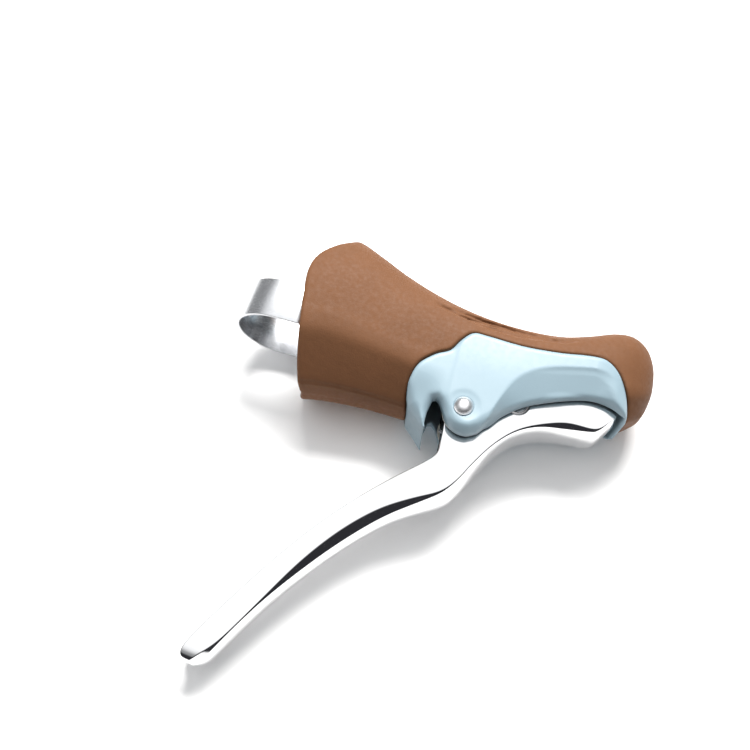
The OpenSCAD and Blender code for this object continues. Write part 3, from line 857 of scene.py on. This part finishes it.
def make_pivot():
    head = [(0.0, -SIDE - 1.53)] + [(r, -SIDE - h) for r, h in DOME]
    stem = [(PIN_R, -SIDE + 0.1), (PIN_R, 12.3), (2.35, 12.5), (1.62, 12.52), (1.6, 12.7),
            (1.6, 14.9), (1.45, 15.05), (0.9, 15.09), (0.4, 14.95), (0, 14.9)]
    finish_piece(lathe("pivot_rivet", head + stem, PIVOT, ACROSS), "bracket", "pivot_steel",
                 "pivot_pin")
    crown = [(1.64, SIDE + 1.16), (1.72, SIDE + 1.2)] + [(r, SIDE + h) for r, h in DOME[2:]]
    ring = crown + [(PIN_R, SIDE - 0.1), (PIN_R, 12.75), (2.35, 12.6), (1.7, 12.6), (1.62, 12.7)]
    finish_piece(lathe("pivot_cap_ring", ring, PIVOT, ACROSS, closed=True), "bracket",
                 "pivot_steel", "pivot_cap")
    inner = BLADE_HALF - CHEEK_T
    for side, sign in (("left", 1), ("right", -1)):
        bush = [(PIN_HOLE_R, inner - 0.8), (4.5, inner - 0.8), (4.5, inner - 0.02),
                (BUSH_R, inner - 0.02), (BUSH_R, BLADE_HALF), (PIN_HOLE_R, BLADE_HALF)]
        bush = [(r, y * sign) for r, y in rounded(bush, 0.18)]
        finish_piece(lathe("bush_" + side, bush, PIVOT, ACROSS, closed=True), "blade",
                     "bush_bronze", "pivot_bush_" + side)
        washer = [(PIN_HOLE_R, 8.05), (5.4, 8.05), (5.4, 8.75), (PIN_HOLE_R, 8.75)]
        washer = [(r, y * sign) for r, y in rounded(washer, 0.2)]
        finish_piece(lathe("washer_" + side, washer, PIVOT, ACROSS, closed=True), "bracket",
                     "nylon", "thrust_washer_" + side)


def make_spring():
    sleeve = rounded([(PIN_HOLE_R, -4.7), (3.3, -4.7), (3.3, 4.7), (PIN_HOLE_R, 4.7)], 0.15)
    finish_piece(lathe("sleeve", sleeve, PIVOT, ACROSS, closed=True), "bracket", "nylon",
                 "spring_sleeve")
    # one leg in the bracket, the turns round the sleeve, and the other leg's end
    leg = [[33.6, -3.4, -8.4], [38, -3.4, -8.4], [45, -3.3, -10.6], [51, -3.2, -12.7]]
    t = np.linspace(0, 1, 49)
    a = np.radians(100 + (142 - 4 * 360) * t)
    turns = PIVOT + np.stack([4.25 * np.cos(a), 2.9 * (2 * t - 1), 4.25 * np.sin(a)], 1)
    path = spline(np.concatenate([leg, turns, [[54.6, 3, -20.7], [53.4, 3.1, -20]]]), 3)
    finish_piece(tube("torsion_spring", path, 0.6), "bracket", "spring_steel", "return_spring")
    pin = [(0, -7.28), (0.9, -7.28), (1.19, -7.0), (1.19, 7.0), (0.9, 7.28), (0, 7.28)]
    finish_piece(lathe("spring_cross_pin", pin, SPRING_PIN, ACROSS, 32), "blade", "spring_steel",
                 "spring_pin")


def make_cable_parts():
    barrel = [(0, -8), (2.6, -8), (2.75, -7.85), (3.1, -7.8), (3.5, -7.4), (3.5, -2.1), (3.42, -2.0),
              (3.42, 2.0), (3.5, 2.1), (3.5, 7.4), (3.1, 7.8), (2.75, 7.85), (2.6, 8), (0, 8)]
    anchor = lathe("anchor_barrel", barrel, ANCHOR, ACROSS)
    through = lathe("through", [(1.1, -9), (1.1, 9)], ANCHOR, CABLE, 32)
    seat = lathe("seat", [(2.3, -9), (2.3, -0.6)], ANCHOR, CABLE, 40)
    finish_piece(drill(anchor, through, seat), "anchor", "plated_steel", "cable_anchor")
    stop = [(1.2, 0.02), (2.9, 0.02), (STOP_R, 0.4), (STOP_R, 8.1), (3.22, 8.2), (3.22, 8.5),
            (STOP_R, 8.6), (STOP_R, 8.85), (3.15, 9.0), (2.75, 9.0), (2.6, 8.8), (2.6, 1.4), (1.2, 1.4)]
    stop = [(r, STOP_SEAT + s) for r, s in stop]
    finish_piece(lathe("ferrule", stop, ANCHOR, CABLE, closed=True), "bracket", "plated_steel",
                 "housing_stop")
    first, last = (ANCHOR[0] - CAVITY_BACK - 3) / math.cos(SLOPE), STOP_SEAT - 0.02
    liner = rounded([(1.2, first), (LINER_R, first), (LINER_R, last), (1.2, last)], 0.2)
    finish_piece(lathe("liner", liner, ANCHOR, CABLE, closed=True), "bracket", "nylon",
                 "cable_guide")


# ---- clamp ---------------------------------------------------------------------

def bevelled(obj, width, segments=3):
    """Bevels a piece's edges, with the width in millimetres."""
    m = obj.modifiers.new("bevel", "BEVEL")
    m.width = width * MM
    m.segments = segments
    m.limit_method = "ANGLE"
    m.angle_limit = math.radians(40)
    apply_modifiers(obj)
    sharp_edges(obj, 50)
    return obj


def prism(name, outline, z0, z1, hole=None):
    """An upright prism of an outline in X and Y; hole is an inner outline of equal length."""
    n = len(outline)
    loops = [outline] if hole is None else [outline, hole]
    points = [(x, y, z) for loop in loops for z in (z0, z1) for x, y in loop]
    faces = []
    for base in range(0, 2 * n * len(loops), 2 * n):
        for k in range(n):
            m = (k + 1) % n
            faces.append((base + k, base + m, base + n + m, base + n + k))
    if hole is None:
        faces += [tuple(range(n)), tuple(range(n, 2 * n))]
    else:
        for k in range(n):
            m = (k + 1) % n
            faces.append((k, m, 2 * n + m, 2 * n + k))
            faces.append((n + k, n + m, 3 * n + m, 3 * n + k))
    obj = mesh_object(name, points, faces)
    fix_normals(obj)
    return obj


def band_outline(grow):
    """The band's loop: round behind the bar, straight legs and a flat front with soft corners."""
    radius, front, nose = BAR_R + grow, 17.4 + grow, 7 + grow / 2
    back = [(radius * math.cos(a), radius * math.sin(a))
            for a in np.radians(np.linspace(90, 270, 49))]
    corners = [(7, -radius), (front, -nose), (front, nose), (7, radius)]
    legs = []
    reach = 1.1 + 0.7 * grow
    around = np.array([back[-1]] + corners + [back[0]], float)
    for a, b, c in zip(around, around[1:], around[2:]):
        start = b + (a - b) / np.linalg.norm(a - b) * reach
        end = b + (c - b) / np.linalg.norm(c - b) * reach
        for t in np.linspace(0, 1, 6):
            legs.append(tuple((1 - t) ** 2 * start + 2 * t * (1 - t) * b + t * t * end))
    return back + legs


def make_clamp():
    band = bevelled(prism("band_loop", band_outline(1), -6, 6, band_outline(0)), 0.18)
    hole = lathe("hole", [(3.3, 10), (3.3, 30)], (0, 0, 0), ALONG_X, 48)
    finish_piece(drill(band, hole), "clamp_strap", "band_steel", "clamp_band")
    block = prism("nut_block", [(13, -6), (17.38, -6), (17.38, 6), (13, 6)], -5.5, 5.5)
    hole = lathe("hole", rounded([(0, 12), (3.5, 12), (3.5, 13.3), (3.05, 13.75), (3.05, 16.6),
                                  (3.5, 17.05), (3.5, 18), (0, 18)], 0.02), (0, 0, 0), ALONG_X, 48)
    finish_piece(drill(bevelled(block, 0.5), hole), "clamp_strap", "plated_steel", "clamp_nut")
    seat = BOLT_SEAT + 0.02
    washer = rounded([(3.2, seat), (5.2, seat), (5.2, seat + 0.96), (3.2, seat + 0.96)], 0.15)
    finish_piece(lathe("bolt_washer", washer, (0, 0, 0), ALONG_X, closed=True), "bracket",
                 "plated_steel", "clamp_washer")
    head = BOLT_SEAT + 1.02
    profile = [(0, 12.4), (2.3, 12.4), (2.95, 12.95)]
    for x in np.arange(12) + 13.2:                     # the thread's turns
        profile += [(2.98, x), (2.98, x + 0.12), (2.5, x + 0.45), (2.5, x + 0.55), (2.98, x + 0.88)]
    profile += [(3.0, 25.4), (3.0, head - 0.05), (3.2, head), (4.4, head), (4.78, head + 0.35),
                (4.8, head + 3.9), (4.6, head + 4.35), (4.1, head + 4.6), (0, head + 4.6)]
    bolt = lathe("socket_bolt", profile, (0, 0, 0), ALONG_X, 72)
    socket = lathe("socket", [(2.89, head + 1.6), (2.89, head + 6)], (0, 0, 0), ALONG_X, 6)
    lead = lathe("lead", [(2.4, head + 4.1), (3.3, head + 4.7)], (0, 0, 0), ALONG_X, 48)
    finish_piece(drill(bolt, socket, lead), "clamp_screw", "bolt_steel", "clamp_bolt")


def make_bumper():
    pad = bevelled(prism("stop_pad", [(86, -7.6), (92, -7.6), (92, 7.6), (86, 7.6)], -1.7, 5.3), 0.9, 4)
    stem = lathe("stem", [(0, 4), (1.99, 4), (1.99, 9.4), (1.5, 10), (0, 10)], (89, 0, 0), (0, 0, 1), 40)
    finish_piece(combine(pad, "UNION", stem), "bracket", "bumper_rubber", "blade_bumper")


make_pivot()
make_spring()
make_cable_parts()
make_clamp()
make_bumper()

for name, obj in frame["nodes"].items():
    slot = next(e["material_slot"] for e in frame["record"]["subparts"] if e["node"] == name)
    obj.data.materials.clear()
    obj.data.materials.append(MATERIALS[slot])


# ---- stage, lights and camera --------------------------------------------------

TABLE_NORMAL = (-0.0461, -0.9914, 0.1225)
TABLE_CENTRE = Vector((29.36, 17.7, -3.09))
TABLE_HALF = 4000
PALE = (0.95, 0.95, 0.95)


def make_table():
    """The pale surface the lever lies against in the main view. From behind it isn't seen."""
    normal = Vector(TABLE_NORMAL).normalized()
    u = normal.orthogonal().normalized() * TABLE_HALF
    v = normal.cross(u)
    corners = [TABLE_CENTRE + a * u + b * v for a, b in ((-1, -1), (1, -1), (1, 1), (-1, 1))]
    table = mesh_object("table", corners, [(0, 1, 2, 3)])
    if table.data.polygons[0].normal.dot(normal) < 0:
        table.data.flip_normals()
    s = Shader("table_white", Specular_IOR_Level=0.1)
    s.bsdf.inputs["Roughness"].default_value = 0.8
    s.colour(s.ramp(s.noise(6, 2), [(0.3, (0.93, 0.93, 0.93)), (0.7, PALE)]))
    mix = s.new("ShaderNodeMixShader")
    s.link(s.new("ShaderNodeNewGeometry").outputs["Backfacing"], mix.inputs[0])
    s.link(s.bsdf.outputs[0], mix.inputs[1])
    s.link(s.new("ShaderNodeBsdfTransparent").outputs[0], mix.inputs[2])
    s.link(mix.outputs[0], s.tree.nodes["Material Output"].inputs["Surface"])
    table.data.materials.append(s.material)
    table.visible_shadow = False


def make_world():
    """White studio round the lever, with a dark side low in front for the polish to mirror. The
    camera itself sees it pale all round."""
    world = bpy.data.worlds.new("studio")
    bpy.context.scene.world = world
    world.use_nodes = True
    n = Nodes(world.node_tree, "Generated")

    def share(direction, low, high):
        return n.span(n.along(direction), low, high, kind="SMOOTHSTEP")

    low_in_front = n.maths("MULTIPLY", share(TABLE_NORMAL, 0.7, 0.45), share(TABLE_NORMAL, -0.14, -0.04))
    dark = n.maths("MULTIPLY", low_in_front, share((0.55, -0.12, -0.8), 0.05, 0.45))
    panel = share((-0.06, -0.965, 0.25), 0.62, 0.9)
    studio = n.mix(dark, n.mix(panel, (0.34, 0.345, 0.35), (1.24, 1.25, 1.26)), (0.03, 0.03, 0.035))
    seen = n.new("ShaderNodeLightPath").outputs["Is Camera Ray"]
    n.link(n.mix(seen, studio, PALE), n.tree.nodes["Background"].inputs["Color"])


LIGHT_AIM = Vector((0.05, 0, -0.03))


def area_light(name, place, size, power, colour=(1, 1, 1)):
    """A soft light, in metres and watts."""
    data = bpy.data.lights.new(name, "AREA")
    data.shape = "RECTANGLE"
    data.size, data.size_y = size
    data.energy = power
    data.color = colour
    light = bpy.data.objects.new(name, data)
    light.location = place
    aim = LIGHT_AIM - light.location
    light.rotation_euler = aim.to_track_quat("-Z", "Y").to_euler()
    bpy.context.scene.collection.objects.link(light)


make_table()
make_world()
area_light("key", (0.02, -0.54, 0.46), (0.36, 0.26), 9.6, (1, 0.985, 0.965))
area_light("far_side", (0.1, 0.7, 0.35), (0.8, 0.5), 3.0)

camera_data = bpy.data.cameras.new("camera")
camera_data.sensor_width = 36.0
camera_data.lens = 40.8
camera_data.clip_start = 0.01
camera_data.clip_end = 20
camera = bpy.data.objects.new("camera", camera_data)
CAMERA_PLACE = Vector((54.7, -228.482, -101.765))
CAMERA_TURN = Euler([math.radians(a) for a in (112.682, -15.905, -0.648)])
camera.matrix_world = Matrix.Translation(CAMERA_PLACE * MM) @ CAMERA_TURN.to_matrix().to_4x4()
bpy.context.scene.collection.objects.link(camera)
bpy.context.scene.camera = camera
bpy.context.scene.view_settings.view_transform = "Standard"
bpy.context.scene.view_settings.look = "None"
